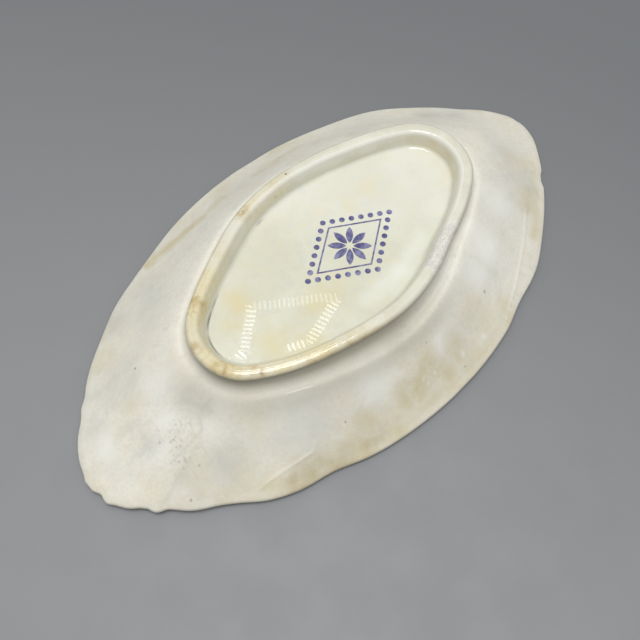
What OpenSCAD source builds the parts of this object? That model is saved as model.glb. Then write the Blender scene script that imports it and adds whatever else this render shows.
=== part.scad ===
// Relish dish: a pointed-oval earthenware dish with a gently scalloped rim and a lozenge-shaped foot ring.
// It lies turned over, as a dish is laid to show its underside, with the rim on the plane z = 0 and the foot
// ring up. The long axis is X. Half a turn about X brings it to the way it is used. Sizes are in millimetres.

/* [Dish] */
// Length over the two ends
dish_l = 240; // [210:1:280]
// Width across the two long sides
dish_w = 135.6; // [122:0.2:170]
// Height from the rim to the tread of the foot ring
dish_h = 30; // [24:0.5:45]
// Bluntness of the ends: 0 leaves them as an ellipse has them
end_blunt = 0.054; // [0:0.002:0.08]
// Slimness of the shoulders between the sides and the ends
shoulder_slim = 0.152; // [0:0.004:0.22]
// Swing of the wall's double curve: 0 makes the wall straight
wall_ogee = 0.3; // [0:0.05:0.6]

/* [Rim] */
// Thickness of the rounded lip
lip_t = 3; // [2:0.1:4]
// Depth of the four waists, where the rim draws in beside the long sides
waist_d = 1.6; // [0:0.1:3]
// Depth of the small notches near the ends
notch_d = 0.7; // [0:0.1:1.5]

/* [Body] */
// Thickness of the clay in the floor and the lower wall
clay_t = 4.5; // [3.5:0.1:6]
// Thickness of a coat of glaze
glaze_t = 0.3; // [0.2:0.05:0.5]

/* [Foot ring] */
// Length of the space inside the ring, at its tread
ring_l = 124; // [110:1:135]
// Width of the space inside the ring, at its tread
ring_w = 62.8; // [56:0.2:70]
// Radius of the ring's two ends, inside
ring_end_r = 16.6; // [12:0.2:20]
// Height of the ring above the floor that it stands on
ring_h = 7; // [6:0.1:9]
// Thickness of the ring
ring_t = 5; // [4:0.1:7]
// Rounding of the two edges of the tread
tread_r = 1.2; // [0.6:0.1:1.5]
// Turn of the ring from the long axis, as it was set on by hand
ring_turn = 1.6; // [-4:0.1:4]
// Reach of the slip fillet outside the ring
fillet_out = 3.5; // [2:0.1:4.5]
// Reach of the slip fillet inside the ring
fillet_in = 2; // [1.5:0.1:4.5]

/* [Printed mark] */
// Width of the mark along the dish
mark_w = 46; // [24:1:48]
// Height of the mark across the dish
mark_h = 31; // [18:1:34]
// Place of the mark along the dish, from the middle
mark_x = 5; // [-12:0.5:12]
// Place of the mark across the dish, from the middle
mark_y = -3.5; // [-5:0.5:5]
// Number of dots along each side of the mark's border
mark_dots = 7; // [4:1:9]
// Number of petals in the mark's rosette
mark_petals = 8; // [4:1:10]

/* [Hidden] */
$fn = 96;

// Fineness of the wall's facets: columns round the dish, and stations from the foot to the lip
columns = 80;
stations = [0, 0.1, 0.24, 0.4, 0.56, 0.72, 0.86, 0.95, 1];
lip_angles = [45, 0, -45, -90];
coated = len(stations) - 2;

// Where the rim's waists and notches lie, and how wide they are, in degrees of the outline's own angle
waist_at = 70;
waist_half = 5;
notch_at = [31.5, 49.5];
notch_half = 3;

lip_r = lip_t / 2;
seat_z = dish_h - ring_h;
seat_margin = 1;
seat_out = ring_t + fillet_out + seat_margin;

// The ring's inside outline is two end arcs and two side arcs, tangent to each other
end_x = ring_l / 2 - ring_end_r;
side_r = (end_x * end_x + ring_w * ring_w / 4 - ring_end_r * ring_end_r) / (ring_w - 2 * ring_end_r);
side_y = side_r - ring_w / 2;
join_a = atan2(side_y, end_x);

// Angle at which the slip runs out on the wall and on the floor, and the steps of its hollow face
run_out = 20;
slip_steps = 4;
// Angles of the tread's rounded edges, and those of them that the glaze covers
edge_angles = [0, 30, 60];
glazed_angles = [0, 30];
// Height of the ring's crown that is ground off to make the flat tread
ground_off = 0.3;

// Proportions of the printed mark
print_t = 0.1;
dot_r = mark_w / 42;
line_t = mark_w / 60;
line_out = 0.8;
petal_reach = mark_h * 0.27;
petal_r = petal_reach * 0.62;
petal_gap = 0.16;

clay_colour = "#e8e2d0";
slip_colour = "#ddd6c0";
back_colour = "#d2d0c4";
well_colour = "#e4e3d3";
face_colour = "#ecebe2";
print_colour = "#5a5c86";

function unit(v) = v / norm(v);
function bell(a, at, half) = exp(-pow((a - at) / half, 2));
function folded(t) = asin(min(1, abs(sin(t))));
function inward_dip(t) =
    waist_d * bell(folded(t), waist_at, waist_half)
    + notch_d * (bell(folded(t), notch_at[0], notch_half) + bell(folded(t), notch_at[1], notch_half));

// Plain outline of the rim, its outward direction, and the scalloped rim itself
function oval(t) = [
    dish_l / 2 * (cos(t) - end_blunt * cos(3 * t)) / (1 - end_blunt),
    dish_w / 2 * (sin(t) - shoulder_slim * sin(3 * t)) / (1 + shoulder_slim)
];
function outward(t) = unit([
    dish_w / 2 * (cos(t) - 3 * shoulder_slim * cos(3 * t)) / (1 + shoulder_slim),
    dish_l / 2 * (sin(t) - 3 * end_blunt * sin(3 * t)) / (1 - end_blunt)
]);
function rim(t, inset) = oval(t) - (inward_dip(t) + inset) * outward(t);

// Distance from the middle to the ring's outline grown by off, in direction a from the ring's own long axis
function ring_reach(a, off) =
    let (c = abs(cos(a)), s = abs(sin(a)))
    let (on_end = s * (end_x + (ring_end_r + off) * cos(join_a)) < c * (ring_end_r + off) * sin(join_a))
    on_end
        ? end_x * c + sqrt(pow(ring_end_r + off, 2) - pow(end_x * s, 2))
        : sqrt(pow(side_r + off, 2) - pow(side_y * c, 2)) - side_y * s;
function ring_point(a, off) = ring_reach(a - ring_turn, off) * [cos(a), sin(a)];
function bearing(t) = let (p = oval(t)) atan2(p.y, p.x);

// The wall runs straight out from the foot to the lip in plan, and follows a double curve in height
function foot(t) = ring_point(bearing(t), seat_out);
function wall_z(s) = lip_t + (seat_z - lip_t) * (1 - s + wall_ogee / (2 * PI) * sin(360 * s));
function wall_fall(s) = (seat_z - lip_t) * (1 - wall_ogee * cos(360 * s));
function wall_run(t) = rim(t, lip_r) - foot(t);
function wall_up(t, s) =
    let (run = wall_run(t), lean = s == 0 ? 0 : wall_fall(s) / norm(run))
    unit(concat(unit(run) * lean, 1));
function wall_t(s) = clay_t + (lip_t - clay_t) * s * s;
function back_point(t, s, coat = 0) = concat(foot(t) + wall_run(t) * s, wall_z(s)) + coat * wall_up(t, s);
function face_point(t, s, coat = 0) = back_point(t, s, -wall_t(s) - coat);
function lip_point(t, a, coat = 0) =
    concat(rim(t, lip_r) + (lip_r + coat) * cos(a) * outward(t), lip_r + (lip_r + coat) * sin(a));

turns = [for (j = [0:columns - 1]) 360 * j / columns];
function back_row(s, coat = 0) = [for (t = turns) back_point(t, s, coat)];
function face_row(s, coat = 0) = [for (t = turns) face_point(t, s, coat)];
function lip_row(a, coat = 0) = [for (t = turns) lip_point(t, a, coat)];
function seat_row(off, z) = [for (t = turns) concat(ring_point(bearing(t), off), z)];
function reversed(list) = [for (i = [len(list) - 1:-1:0]) list[i]];

// Two triangles for each cell between rows i and k, cut from the inner row to the outer row's next column
function strip(rows, i, k) =
    let (out = norm([rows[i][0].x, rows[i][0].y]) < norm([rows[k][0].x, rows[k][0].y]))
    [for (j = [0:columns - 1])
        let (n = (j + 1) % columns)
        let (p = i * columns + j, q = i * columns + n, r = k * columns + n, s = k * columns + j)
        each out ? [[p, q, r], [p, r, s]] : [[p, q, s], [q, r, s]]];

// A body lofted through rows of points, closed by flat caps: the first row's faces up, the last row's down
module lofted(rows) {
    last = len(rows) - 1;
    polyhedron(
        points = [for (row = rows) each row],
        faces = concat(
            [[for (j = [columns - 1:-1:0]) j]],
            [for (i = [0:last - 1]) each strip(rows, i, i + 1)],
            [[for (j = [0:columns - 1]) last * columns + j]]
        ),
        convexity = 6
    );
}

// A closed band lofted through rows of points, the last row joined to the first
module banded(rows) {
    count = len(rows);
    polyhedron(
        points = [for (row = rows) each row],
        faces = [for (i = [0:count - 1]) each strip(rows, i, (i + 1) % count)],
        convexity = 6
    );
}

// A flank's section is a list of [reach out from the ring's side, height above the floor] points.
// The outer flank lies outside the ring, and the inner flank, which faces the other way, lies inside it.
function outer_row(p) = seat_row(ring_t + p[0], seat_z + p[1]);
function inner_row(p) = seat_row(-p[0], seat_z + p[1]);

// Hollow face of slip, from its toe on the floor to its top on the ring's side, under a coat
function slip_face(reach, coat = 0) =
    let (r = reach / (cos(run_out) - sin(run_out)), c = r * cos(run_out))
    [for (i = [0:slip_steps])
        let (a = run_out + (90 - 2 * run_out) * i / slip_steps)
        [c, c] - (r - coat) * [sin(a), cos(a)]];

// Rounded edge of the tread at the given angles, under a coat
function tread_edge(angles, coat = 0) =
    [for (a = angles) [-tread_r, ring_h - tread_r] + (tread_r + coat) * [cos(a), sin(a)]];

// The whole flank that the glaze covers, from the slip's toe to the wiped tread
function glazed_flank(reach, coat = 0) = concat(slip_face(reach, coat), tread_edge(glazed_angles, coat));

// Pressed clay body: flat floor, flaring wall and rounded lip, in one thickness of clay
module dish_shell() {
    color(clay_colour)
        lofted(concat(
            [for (s = stations) back_row(s)],
            [for (a = lip_angles) lip_row(a)],
            [for (s = reversed(stations)) face_row(s)]
        ));
}

// Ring of clay that the dish stands on, set on the flat back of the floor, with its crown ground off flat
module foot_ring() {
    side = concat([[0, 0]], tread_edge(edge_angles));
    color(clay_colour)
        difference() {
            banded(concat(
                [seat_row(ring_t / 2, dish_h + ground_off)],
                [for (p = reversed(side)) outer_row(p)],
                [for (p = side) inner_row(p)]
            ));
            translate([-dish_l / 2, -dish_w / 2, dish_h])
                cube([dish_l, dish_w, ring_h]);
        }
}

// Slip worked into the corners outside and inside the ring, which holds it on
module slip_fillet() {
    color(slip_colour) {
        banded([for (p = reversed(concat([[0, 0]], slip_face(fillet_out)))) outer_row(p)]);
        banded([for (p = concat([[0, 0]], slip_face(fillet_in))) inner_row(p)]);
    }
}

// Glaze on the back, from the wiped tread down the ring and the slip and out over the wall to the lip
module back_glaze() {
    clay = glazed_flank(fillet_out);
    coat = glazed_flank(fillet_out, glaze_t);
    color(back_colour)
        banded(concat(
            [for (p = reversed(coat)) outer_row(p)],
            [for (s = stations) back_row(s, glaze_t)],
            [lip_row(lip_angles[0], glaze_t)],
            [lip_row(lip_angles[0])],
            [for (s = reversed(stations)) back_row(s)],
            [for (p = clay) outer_row(p)]
        ));
}

// Glaze in the well of the foot, over the floor and up the slip and the ring to the wiped tread
module well_glaze() {
    clay = glazed_flank(fillet_in);
    coat = glazed_flank(fillet_in, glaze_t);
    color(well_colour)
        lofted(concat(
            [for (p = coat) inner_row(p)],
            [for (p = reversed(clay)) inner_row(p)]
        ));
}

// Glaze on the serving face, from the floor up to the inside of the lip
module face_glaze() {
    rows = [for (i = [0:coated]) stations[i]];
    color(face_colour)
        lofted(concat(
            [for (s = rows) face_row(s)],
            [for (s = reversed(rows)) face_row(s, glaze_t)]
        ));
}

// Lens-shaped petal with one tip near the origin, pointing along X
module petal() {
    tip_in = petal_reach * petal_gap;
    half = (petal_reach - tip_in) / 2;
    rise = sqrt(petal_r * petal_r - half * half);
    translate([tip_in + half, 0])
        intersection() {
            translate([0, rise])
                circle(petal_r);
            translate([0, -rise])
                circle(petal_r);
        }
}

// Corner of a lozenge that fills a share of the mark's border
function mark_corner(i, share) =
    share * [(mark_w / 2 - dot_r) * cos(90 * i), (mark_h / 2 - dot_r) * sin(90 * i)];

module ruled_lozenge(share) {
    polygon([for (i = [0:3]) mark_corner(i, share)]);
}

// Printed mark: a rosette in a ruled lozenge, inside a lozenge of dots
module printed_mark() {
    color(print_colour)
        translate([mark_x, mark_y, seat_z + glaze_t])
            linear_extrude(print_t) {
                for (i = [0:3], k = [0:mark_dots - 1])
                    translate(mark_corner(i, 1 - k / mark_dots) + mark_corner(i + 1, k / mark_dots))
                        circle(dot_r);
                difference() {
                    ruled_lozenge(line_out);
                    ruled_lozenge(line_out - 2 * line_t / mark_h);
                }
                for (i = [0:mark_petals - 1])
                    rotate(360 * i / mark_petals)
                        petal();
            }
}

dish_shell();
foot_ring();
slip_fillet();
back_glaze();
well_glaze();
face_glaze();
printed_mark();
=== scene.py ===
"""Looks of the relish dish, turned over on its rim to show its foot ring.

Lengths are in millimetres and angles in degrees, as in the part's source. They become metres when a mesh,
a lamp or a shader's place is made. The dish lies along X, its rim is on z = 0 and its foot ring is up.
"""

import bmesh
import bpy
import numpy as np
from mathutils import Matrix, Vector


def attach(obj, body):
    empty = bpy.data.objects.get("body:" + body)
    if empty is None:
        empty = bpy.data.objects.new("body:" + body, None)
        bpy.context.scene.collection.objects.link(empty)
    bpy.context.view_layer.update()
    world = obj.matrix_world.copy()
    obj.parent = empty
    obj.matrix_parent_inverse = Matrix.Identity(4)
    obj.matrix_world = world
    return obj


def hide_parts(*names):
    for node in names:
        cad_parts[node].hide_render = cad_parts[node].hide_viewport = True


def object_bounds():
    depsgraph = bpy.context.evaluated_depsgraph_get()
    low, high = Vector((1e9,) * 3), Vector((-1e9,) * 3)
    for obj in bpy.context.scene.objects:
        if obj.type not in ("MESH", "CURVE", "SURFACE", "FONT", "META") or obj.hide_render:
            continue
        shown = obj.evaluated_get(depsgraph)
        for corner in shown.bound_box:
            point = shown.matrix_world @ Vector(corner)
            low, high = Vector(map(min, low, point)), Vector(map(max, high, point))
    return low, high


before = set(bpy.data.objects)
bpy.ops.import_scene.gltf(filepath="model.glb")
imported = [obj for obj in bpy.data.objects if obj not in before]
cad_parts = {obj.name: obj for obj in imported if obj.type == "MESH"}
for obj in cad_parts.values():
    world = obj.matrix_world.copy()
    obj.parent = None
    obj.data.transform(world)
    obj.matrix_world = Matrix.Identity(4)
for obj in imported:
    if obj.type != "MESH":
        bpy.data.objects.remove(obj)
cad_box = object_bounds()

MM = 0.001

# Dish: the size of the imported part, and the shape of its outline and wall
DISH_L = (cad_box[1].x - cad_box[0].x) / MM
DISH_W = (cad_box[1].y - cad_box[0].y) / MM
DISH_H = (cad_box[1].z - cad_box[0].z) / MM
END_BLUNT = 0.054
SHOULDER_SLIM = 0.152
WALL_OGEE = 0.12
WALL_EASE = 0.04
CLAY_T = 4.5
GLAZE_T = 0.3
LIP_T = 3.0
LIP_R = LIP_T / 2
RIM_MARGIN = 0.2

# Foot ring: its inside outline is two end arcs and two side arcs
RING_L = 124.0
RING_W = 62.8
RING_END_R = 16.6
RING_H = 7.0
RING_T = 5.0
RING_TURN = 1.6
END_X = RING_L / 2 - RING_END_R
SIDE_R = (END_X**2 + RING_W**2 / 4 - RING_END_R**2) / (RING_W - 2 * RING_END_R)
SIDE_Y = SIDE_R - RING_W / 2
JOIN_A = np.arctan2(SIDE_Y, END_X)

# Foot ring's section: slim on one side and stout at one end, with the edges of its tread as (reach, drop)
RING_SLIM = 0.7
RING_SLIM_IN = 0.9
RING_STOUT = 1.15
STOUT_AT = 20.0
STOUT_HALF = 38.0
RING_FOOT_IN = 1.4
TREAD_OUT_EDGE = (2.0, 1.9)
TREAD_IN_EDGE = (1.1, 1.2)
TREAD_CROWN = 0.16
CREST_DROP = 0.3

# Ripples along the tread, as (count round the ring, turn in radians, height)
CREST_RIPPLES = [(2, 1.0, 0.06), (5, 0.0, 0.04)]

# Slip round the ring and the flat seat under it, which are fullest on one side
SEAT_Z = DISH_H - RING_H
SEAT_OUT = 8.3
SEAT_FULL = 10.9
FULL_AT = -105.0
FULL_HALF = 55.0
FILLET_OUT = 6.0
FILLET_IN = 1.4
FILLET_LEAST = 2.6
SLIP_TOP = 4.8
SLIP_RUN_OUT = 12.0
SLIP_STEPS = 14

# Coats: the angle up the tread's edge where they run out, and how their hidden side lies in what they cover
COAT_END = 80.0
SINK = 0.01
SINK_DEEPER = 8.0

# Rim: waves and lugs of the hand-finished edge, as (place round the outline, half width, reach outward)
RIM_WAVES = [
    (8, 8, -0.25), (20, 22, -1.55), (28, 38, -0.6), (33, 6, -0.8), (40, 8, -0.35), (58, 8, 1.5),
    (84, 3, -0.35), (86, 18, 0.3), (109, 5, -0.6), (115.5, 4, -0.4), (118, 40, -0.6), (120, 6, 0.7),
    (134, 6, 0.45), (141.5, 2, -0.4), (144.5, 2, 0.25), (148.5, 3, -0.35), (156, 6, 0.25),
    (170, 5, -0.4), (179.5, 3, 0.8), (186, 3, -0.25), (190, 3.2, -0.9), (194, 4, 1.1), (201, 4, 0.5),
    (205, 4, 0.4), (207.5, 2, -0.4), (210, 1.3, -0.6), (211, 2.2, 0.7), (213.3, 1.6, 0.75), (215.5, 3, -0.45),
    (223, 4.5, 0.55), (226.5, 4.5, -0.95), (231.5, 3, -0.45), (235.5, 5, 0.6), (243, 5, 0.6),
    (246.5, 4.5, -1.75), (252, 6, -0.4), (262, 8, -0.3), (283.5, 3, 0.4), (287, 5, -1.05),
    (295.5, 5, 0.6), (310, 10, -0.2), (319, 1.6, -0.9), (321.3, 1.3, -0.65), (338, 7, 0.5), (357, 5, -0.5),
]

# Lift of the uneven rim off the table, as (place round the outline, half width, height)
RIM_LIFTS = [(212, 26, 1.2), (290, 20, 0.8)]

# Foot ring: waves of its outline, which was set on by hand, as (bearing, half width, reach outward)
RING_WAVES = [
    (-178, 14, -0.6), (-155, 16, 0.7), (-94, 34, 1.8), (-42, 12, -0.95), (-16, 11, 1.1), (10, 16, 1.3),
    (38, 17, -1.1), (62, 12, -0.5), (150, 24, -2.3),
]

# Slow swells of the pressed wall, as (size, height, seed)
SWELLS = [(26, 0.2, 3), (9, 0.08, 4)]

# Shares of the way from the foot to the lip where swells are full and begin to fade, and the lift begins
SWELLS_FULL = 0.15
SWELLS_FADE = 0.9
LIFT_FROM = 0.5

# Creases of the moulded border, as paths of (x, y) with a height and a half width
CREASES = [
    ([(78, -36), (64.4, -45.2), (45.3, -55.9), (31, -62.3)], 0.15, 0.6),
    ([(-54, -45.4), (-57.5, -46.9), (-75.3, -42.9), (-79.3, -42.5)], 0.2, 0.55),
    (
        [(40, -29.5), (26.3, -34.6), (20.5, -36.9), (16.2, -38.3), (8.7, -40.1), (2.8, -40.9), (-6, -41.6)],
        0.12, 0.4,
    ),
    ([(-44, -33.6), (-52, -29.5)], 0.1, 0.4),
]

# Heights up the ring between which the creases fade
CREASE_FADE = (1.5, 0.5)

# Bare patch on the tread, as bearings from the middle, and its depth below the glaze
BARE_FROM = -59.0
BARE_TO = -41.0
BARE_DEPTH = 0.06
BARE_BEGINS = (BARE_FROM - 3, BARE_FROM + 1)
BARE_ENDS = (BARE_TO + 4, BARE_TO - 2)

# Points in each row round the dish
COLUMNS = 720
TURNS = np.radians(np.arange(COLUMNS) * 360 / COLUMNS)


def unit(v):
    """Vectors of length 1 the same way."""
    return v / np.linalg.norm(v, axis=-1, keepdims=True)


def bell(angle, at, half):
    """Smooth bump round a place on a circle, 1 at its middle."""
    away = (angle - at + 180) % 360 - 180
    return np.exp(-((away / half) ** 2))


def smooth(x, low, high):
    """Smooth step from 0 at low to 1 at high."""
    k = np.clip((x - low) / (high - low), 0, 1)
    return k * k * (3 - 2 * k)


def value_noise(p, size, seed):
    """Smooth noise from 0 to 1 on the plan, with features of about the given size."""
    count = 256
    lattice = np.random.default_rng(seed).random((count, count))
    cell = np.floor(p / size).astype(int)
    k = p / size - cell
    k = k * k * (3 - 2 * k)
    x0, y0 = cell[..., 0] % count, cell[..., 1] % count
    x1, y1 = (x0 + 1) % count, (y0 + 1) % count
    low = lattice[x0, y0] * (1 - k[..., 0]) + lattice[x1, y0] * k[..., 0]
    high = lattice[x0, y1] * (1 - k[..., 0]) + lattice[x1, y1] * k[..., 0]
    return low * (1 - k[..., 1]) + high * k[..., 1]


# Outline of the rim, and of the foot ring

def oval(t):
    """Pointed oval that the rim waves about."""
    x = DISH_L / 2 * (np.cos(t) - END_BLUNT * np.cos(3 * t)) / (1 - END_BLUNT)
    y = DISH_W / 2 * (np.sin(t) - SHOULDER_SLIM * np.sin(3 * t)) / (1 + SHOULDER_SLIM)
    return np.stack([x, y], -1)


def outward(t):
    """Way out of the oval, square to it."""
    x = DISH_W / 2 * (np.cos(t) - 3 * SHOULDER_SLIM * np.cos(3 * t)) / (1 + SHOULDER_SLIM)
    y = DISH_L / 2 * (np.sin(t) - 3 * END_BLUNT * np.sin(3 * t)) / (1 - END_BLUNT)
    return unit(np.stack([x, y], -1))


def rim(t, inset=0.0):
    """The rim with its waves and lugs, kept inside the part's box."""
    reach = waves(np.degrees(t), RIM_WAVES)
    half_box = np.array([DISH_L / 2, DISH_W / 2]) - RIM_MARGIN
    edge = np.clip(oval(t) + reach[:, None] * outward(t), -half_box, half_box)
    return edge - inset * outward(t)


def rim_lift():
    """Lift of the rim off the table, round the dish."""
    return waves(np.degrees(TURNS), RIM_LIFTS)


def bearing(t):
    """Angle from the middle to points of the oval."""
    p = oval(t)
    return np.arctan2(p[:, 1], p[:, 0])


def ring_reach(a, off):
    """Distance from the middle to the ring's outline grown by off."""
    c, s = np.abs(np.cos(a)), np.abs(np.sin(a))
    end_r = RING_END_R + off
    on_end = s * (END_X + end_r * np.cos(JOIN_A)) < c * end_r * np.sin(JOIN_A)
    end_arc = END_X * c + np.sqrt(np.maximum(end_r**2 - (END_X * s) ** 2, 0))
    side_arc = np.sqrt((SIDE_R + off) ** 2 - (SIDE_Y * c) ** 2) - SIDE_Y * s
    return np.where(on_end, end_arc, side_arc)


def waves(angle, places):
    """Sum of the waves in a list of (place, half width, reach outward)."""
    return sum(reach * bell(angle, at, half) for at, half, reach in places)


def ring_points(off):
    """Ring's outline grown by off, which may differ round the dish."""
    a = bearing(TURNS)
    reach = ring_reach(a - np.radians(RING_TURN), off) + waves(np.degrees(a), RING_WAVES)
    return reach[:, None] * np.stack([np.cos(a), np.sin(a)], -1)


def full_side():
    """Share of the side where the slip is fullest and the ring slimmest, round the dish."""
    return bell(np.degrees(bearing(TURNS)), FULL_AT, FULL_HALF)


def stout_side():
    """Share of the end where the ring is stoutest, round the dish."""
    return bell(np.degrees(bearing(TURNS)), STOUT_AT, STOUT_HALF)


def ring_out():
    """Place of the ring's outer side, round the dish."""
    return RING_T + RING_STOUT * stout_side() - RING_SLIM * full_side()


def seat():
    """Outline where the flat floor ends and the wall begins."""
    return ring_points(SEAT_OUT + (SEAT_FULL - SEAT_OUT) * full_side())


# Wall, lip and ring as rows of points round the dish

def row(plan, z):
    """Points over the plan at a height."""
    return np.column_stack([plan, np.broadcast_to(z, len(plan))])


def along_path(p, path):
    """Distance from points on the plan to a path."""
    nearest = np.full(len(p), np.inf)
    for a, b in zip(path[:-1], path[1:]):
        a, b = np.array(a), np.array(b)
        k = np.clip((p - a) @ (b - a) / ((b - a) @ (b - a)), 0, 1)
        nearest = np.minimum(nearest, np.linalg.norm(p - a - k[:, None] * (b - a), axis=1))
    return nearest


def swells(p):
    """Heights of the slow swells on the plan."""
    return sum(height * (value_noise(p, size, seed) - 0.5) for size, height, seed in SWELLS)


def creases(p):
    """Heights of the creases on the plan."""
    return sum(rise * np.exp(-((along_path(p, path) / half) ** 2)) for path, rise, half in CREASES)


def wall_rise(s):
    """Height of the wall, which eases away from the flat floor at the foot."""
    drop = SEAT_Z - LIP_T
    ease = WALL_EASE * drop * (1 - WALL_OGEE) * (1 - np.exp(-s / WALL_EASE)) * (1 - s) ** 3
    return LIP_T + drop * (1 - s + WALL_OGEE / (2 * np.pi) * np.sin(2 * np.pi * s)) + ease


def wall_t(s):
    """Thickness of the clay, which thins towards the lip."""
    return CLAY_T + (LIP_T - CLAY_T) * s * s


def wall_row(s, coat=0.0):
    """Row of the back at a share s of the way from the foot to the lip, under a coat."""
    run = rim(TURNS, LIP_R) - seat()
    lean = (SEAT_Z - LIP_T) * (1 - WALL_OGEE * np.cos(2 * np.pi * s)) * smooth(s, 0, 2 * WALL_EASE)
    up = unit(row(unit(run) * lean / np.linalg.norm(run, axis=1, keepdims=True), 1.0))
    plan = seat() + run * s
    points = row(plan, wall_rise(s))
    points[:, 2] += (swells(plan) * smooth(s, 0, SWELLS_FULL) + creases(plan)) * smooth(s, 1, SWELLS_FADE)
    points[:, 2] += rim_lift() * smooth(s, LIFT_FROM, 1)
    return points + coat * up


def lip_row(a, coat=0.0):
    """Row of the rounded lip at an angle up from level."""
    a = np.radians(a)
    plan = rim(TURNS, LIP_R) + (LIP_R + coat) * np.cos(a) * outward(TURNS)
    return row(plan, rim_lift() + LIP_R + (LIP_R + coat) * np.sin(a))


def face_row(s, coat=0.0):
    """Row of the serving face, under the wall."""
    return wall_row(s, -wall_t(s) - coat)


def crest_drop():
    """How far the ring's tread falls below the highest point, round the dish."""
    a = bearing(TURNS)
    return CREST_DROP + sum(height * np.sin(count * a + turn) for count, turn, height in CREST_RIPPLES)


def inner_slim():
    """How far the ring's inner side leans back at the tread, round the dish."""
    return RING_SLIM_IN * (1 - full_side())


def inner_side(height):
    """Place of the ring's inner side, which leans out from the well as it rises."""
    up = np.clip(height / RING_H, 0, 1)
    return inner_slim() * up - RING_FOOT_IN * (1 - up)


def flank_row(side, reach, height):
    """Row on the ring's outer side (1) or inner side (-1), at a reach out from that side and a height."""
    plan = ring_points(ring_out() + reach if side > 0 else inner_side(height) - reach)
    seam = creases(plan) * smooth(height, *CREASE_FADE)
    return row(plan, SEAT_Z + height + seam - crest_drop() * smooth(height, RING_H / 2, RING_H))


def fillet_reach():
    """Reach of the slip outside the ring, which is fullest along one side."""
    return FILLET_LEAST + (FILLET_OUT - FILLET_LEAST) * full_side() - RING_STOUT * stout_side()


def slip_section(reach, coat, steps=SLIP_STEPS):
    """Hollow face of the slip, from its toe on the floor to its top on the ring's side."""
    out = np.radians(SLIP_RUN_OUT)
    r = reach / (np.cos(out) - np.sin(out))
    c = r * np.cos(out)
    low = np.minimum(1, SLIP_TOP / reach)
    angles = out + (np.pi / 2 - 2 * out) * np.linspace(0, 1, steps)
    return [(c - (r - coat) * np.sin(a), low * (c - (r - coat) * np.cos(a))) for a in angles]


def tread_section(side, angles, coat):
    """Rounded edge of the tread on one side, under a coat that runs out towards the top."""
    reach, drop = TREAD_OUT_EDGE if side > 0 else TREAD_IN_EDGE
    growth = -1 if coat > 0 else SINK_DEEPER
    thin = [coat * (1 + growth * a / COAT_END) for a in angles]
    turned = np.radians(angles)
    return [
        (-reach + (reach + c) * np.cos(a), RING_H - drop + (drop + c) * np.sin(a))
        for a, c in zip(turned, thin)
    ]


# Meshes

def place_object(name, data):
    """New object in the scene."""
    thing = bpy.data.objects.new(name, data)
    bpy.context.scene.collection.objects.link(thing)
    return thing


def make_object(name, points, faces, material, slot, *nodes):
    """Closed mesh piece from points in millimetres. It rides on the dish and stands for the named nodes."""
    mesh = bpy.data.meshes.new(name)
    mesh.from_pydata((np.asarray(points) * MM).tolist(), [], faces)
    shape = bmesh.new()
    shape.from_mesh(mesh)
    bmesh.ops.recalc_face_normals(shape, faces=shape.faces)
    shape.to_mesh(mesh)
    shape.free()
    mesh.shade_smooth()
    mesh.materials.append(material)
    piece = place_object(name, mesh)
    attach(piece, "root")
    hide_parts(*nodes)
    return piece


def strips(rows, closed):
    """Faces between neighbouring rows, and between the last and the first where the band is closed."""
    count = len(rows)
    pairs = [(i, (i + 1) % count) for i in range(count if closed else count - 1)]
    return [
        (i * COLUMNS + j, i * COLUMNS + (j + 1) % COLUMNS, k * COLUMNS + (j + 1) % COLUMNS, k * COLUMNS + j)
        for i, k in pairs
        for j in range(COLUMNS)
    ]


def banded(name, rows, *finish):
    """Ring-shaped body through rows of points, the last joined to the first."""
    return make_object(name, np.concatenate(rows), strips(rows, True), *finish)


def lofted(name, first_tip, rows, last_tip, *finish):
    """Body through rows of points, closed at both ends by fans to a tip."""
    points = np.concatenate([*rows, [first_tip], [last_tip]])
    first, last = len(points) - 2, len(points) - 1
    start = (len(rows) - 1) * COLUMNS
    fans = [(first, j, (j + 1) % COLUMNS) for j in range(COLUMNS)]
    fans += [(last, start + (j + 1) % COLUMNS, start + j) for j in range(COLUMNS)]
    return make_object(name, points, strips(rows, False) + fans, *finish)


def shrunk(plan, shares, z):
    """Rows that shrink from an outline towards the middle."""
    return [row(plan * share, z) for share in shares]


def middle(z):
    """Point on the axis at a height."""
    return [0.0, 0.0, z]


# Materials

def srgb(r, g, b):
    """Colour as written in 8-bit sRGB, for a shader's socket."""
    def linear(c):
        c /= 255
        return c / 12.92 if c <= 0.04045 else ((c + 0.055) / 1.055) ** 2.4
    return (linear(r), linear(g), linear(b), 1.0)


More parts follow.
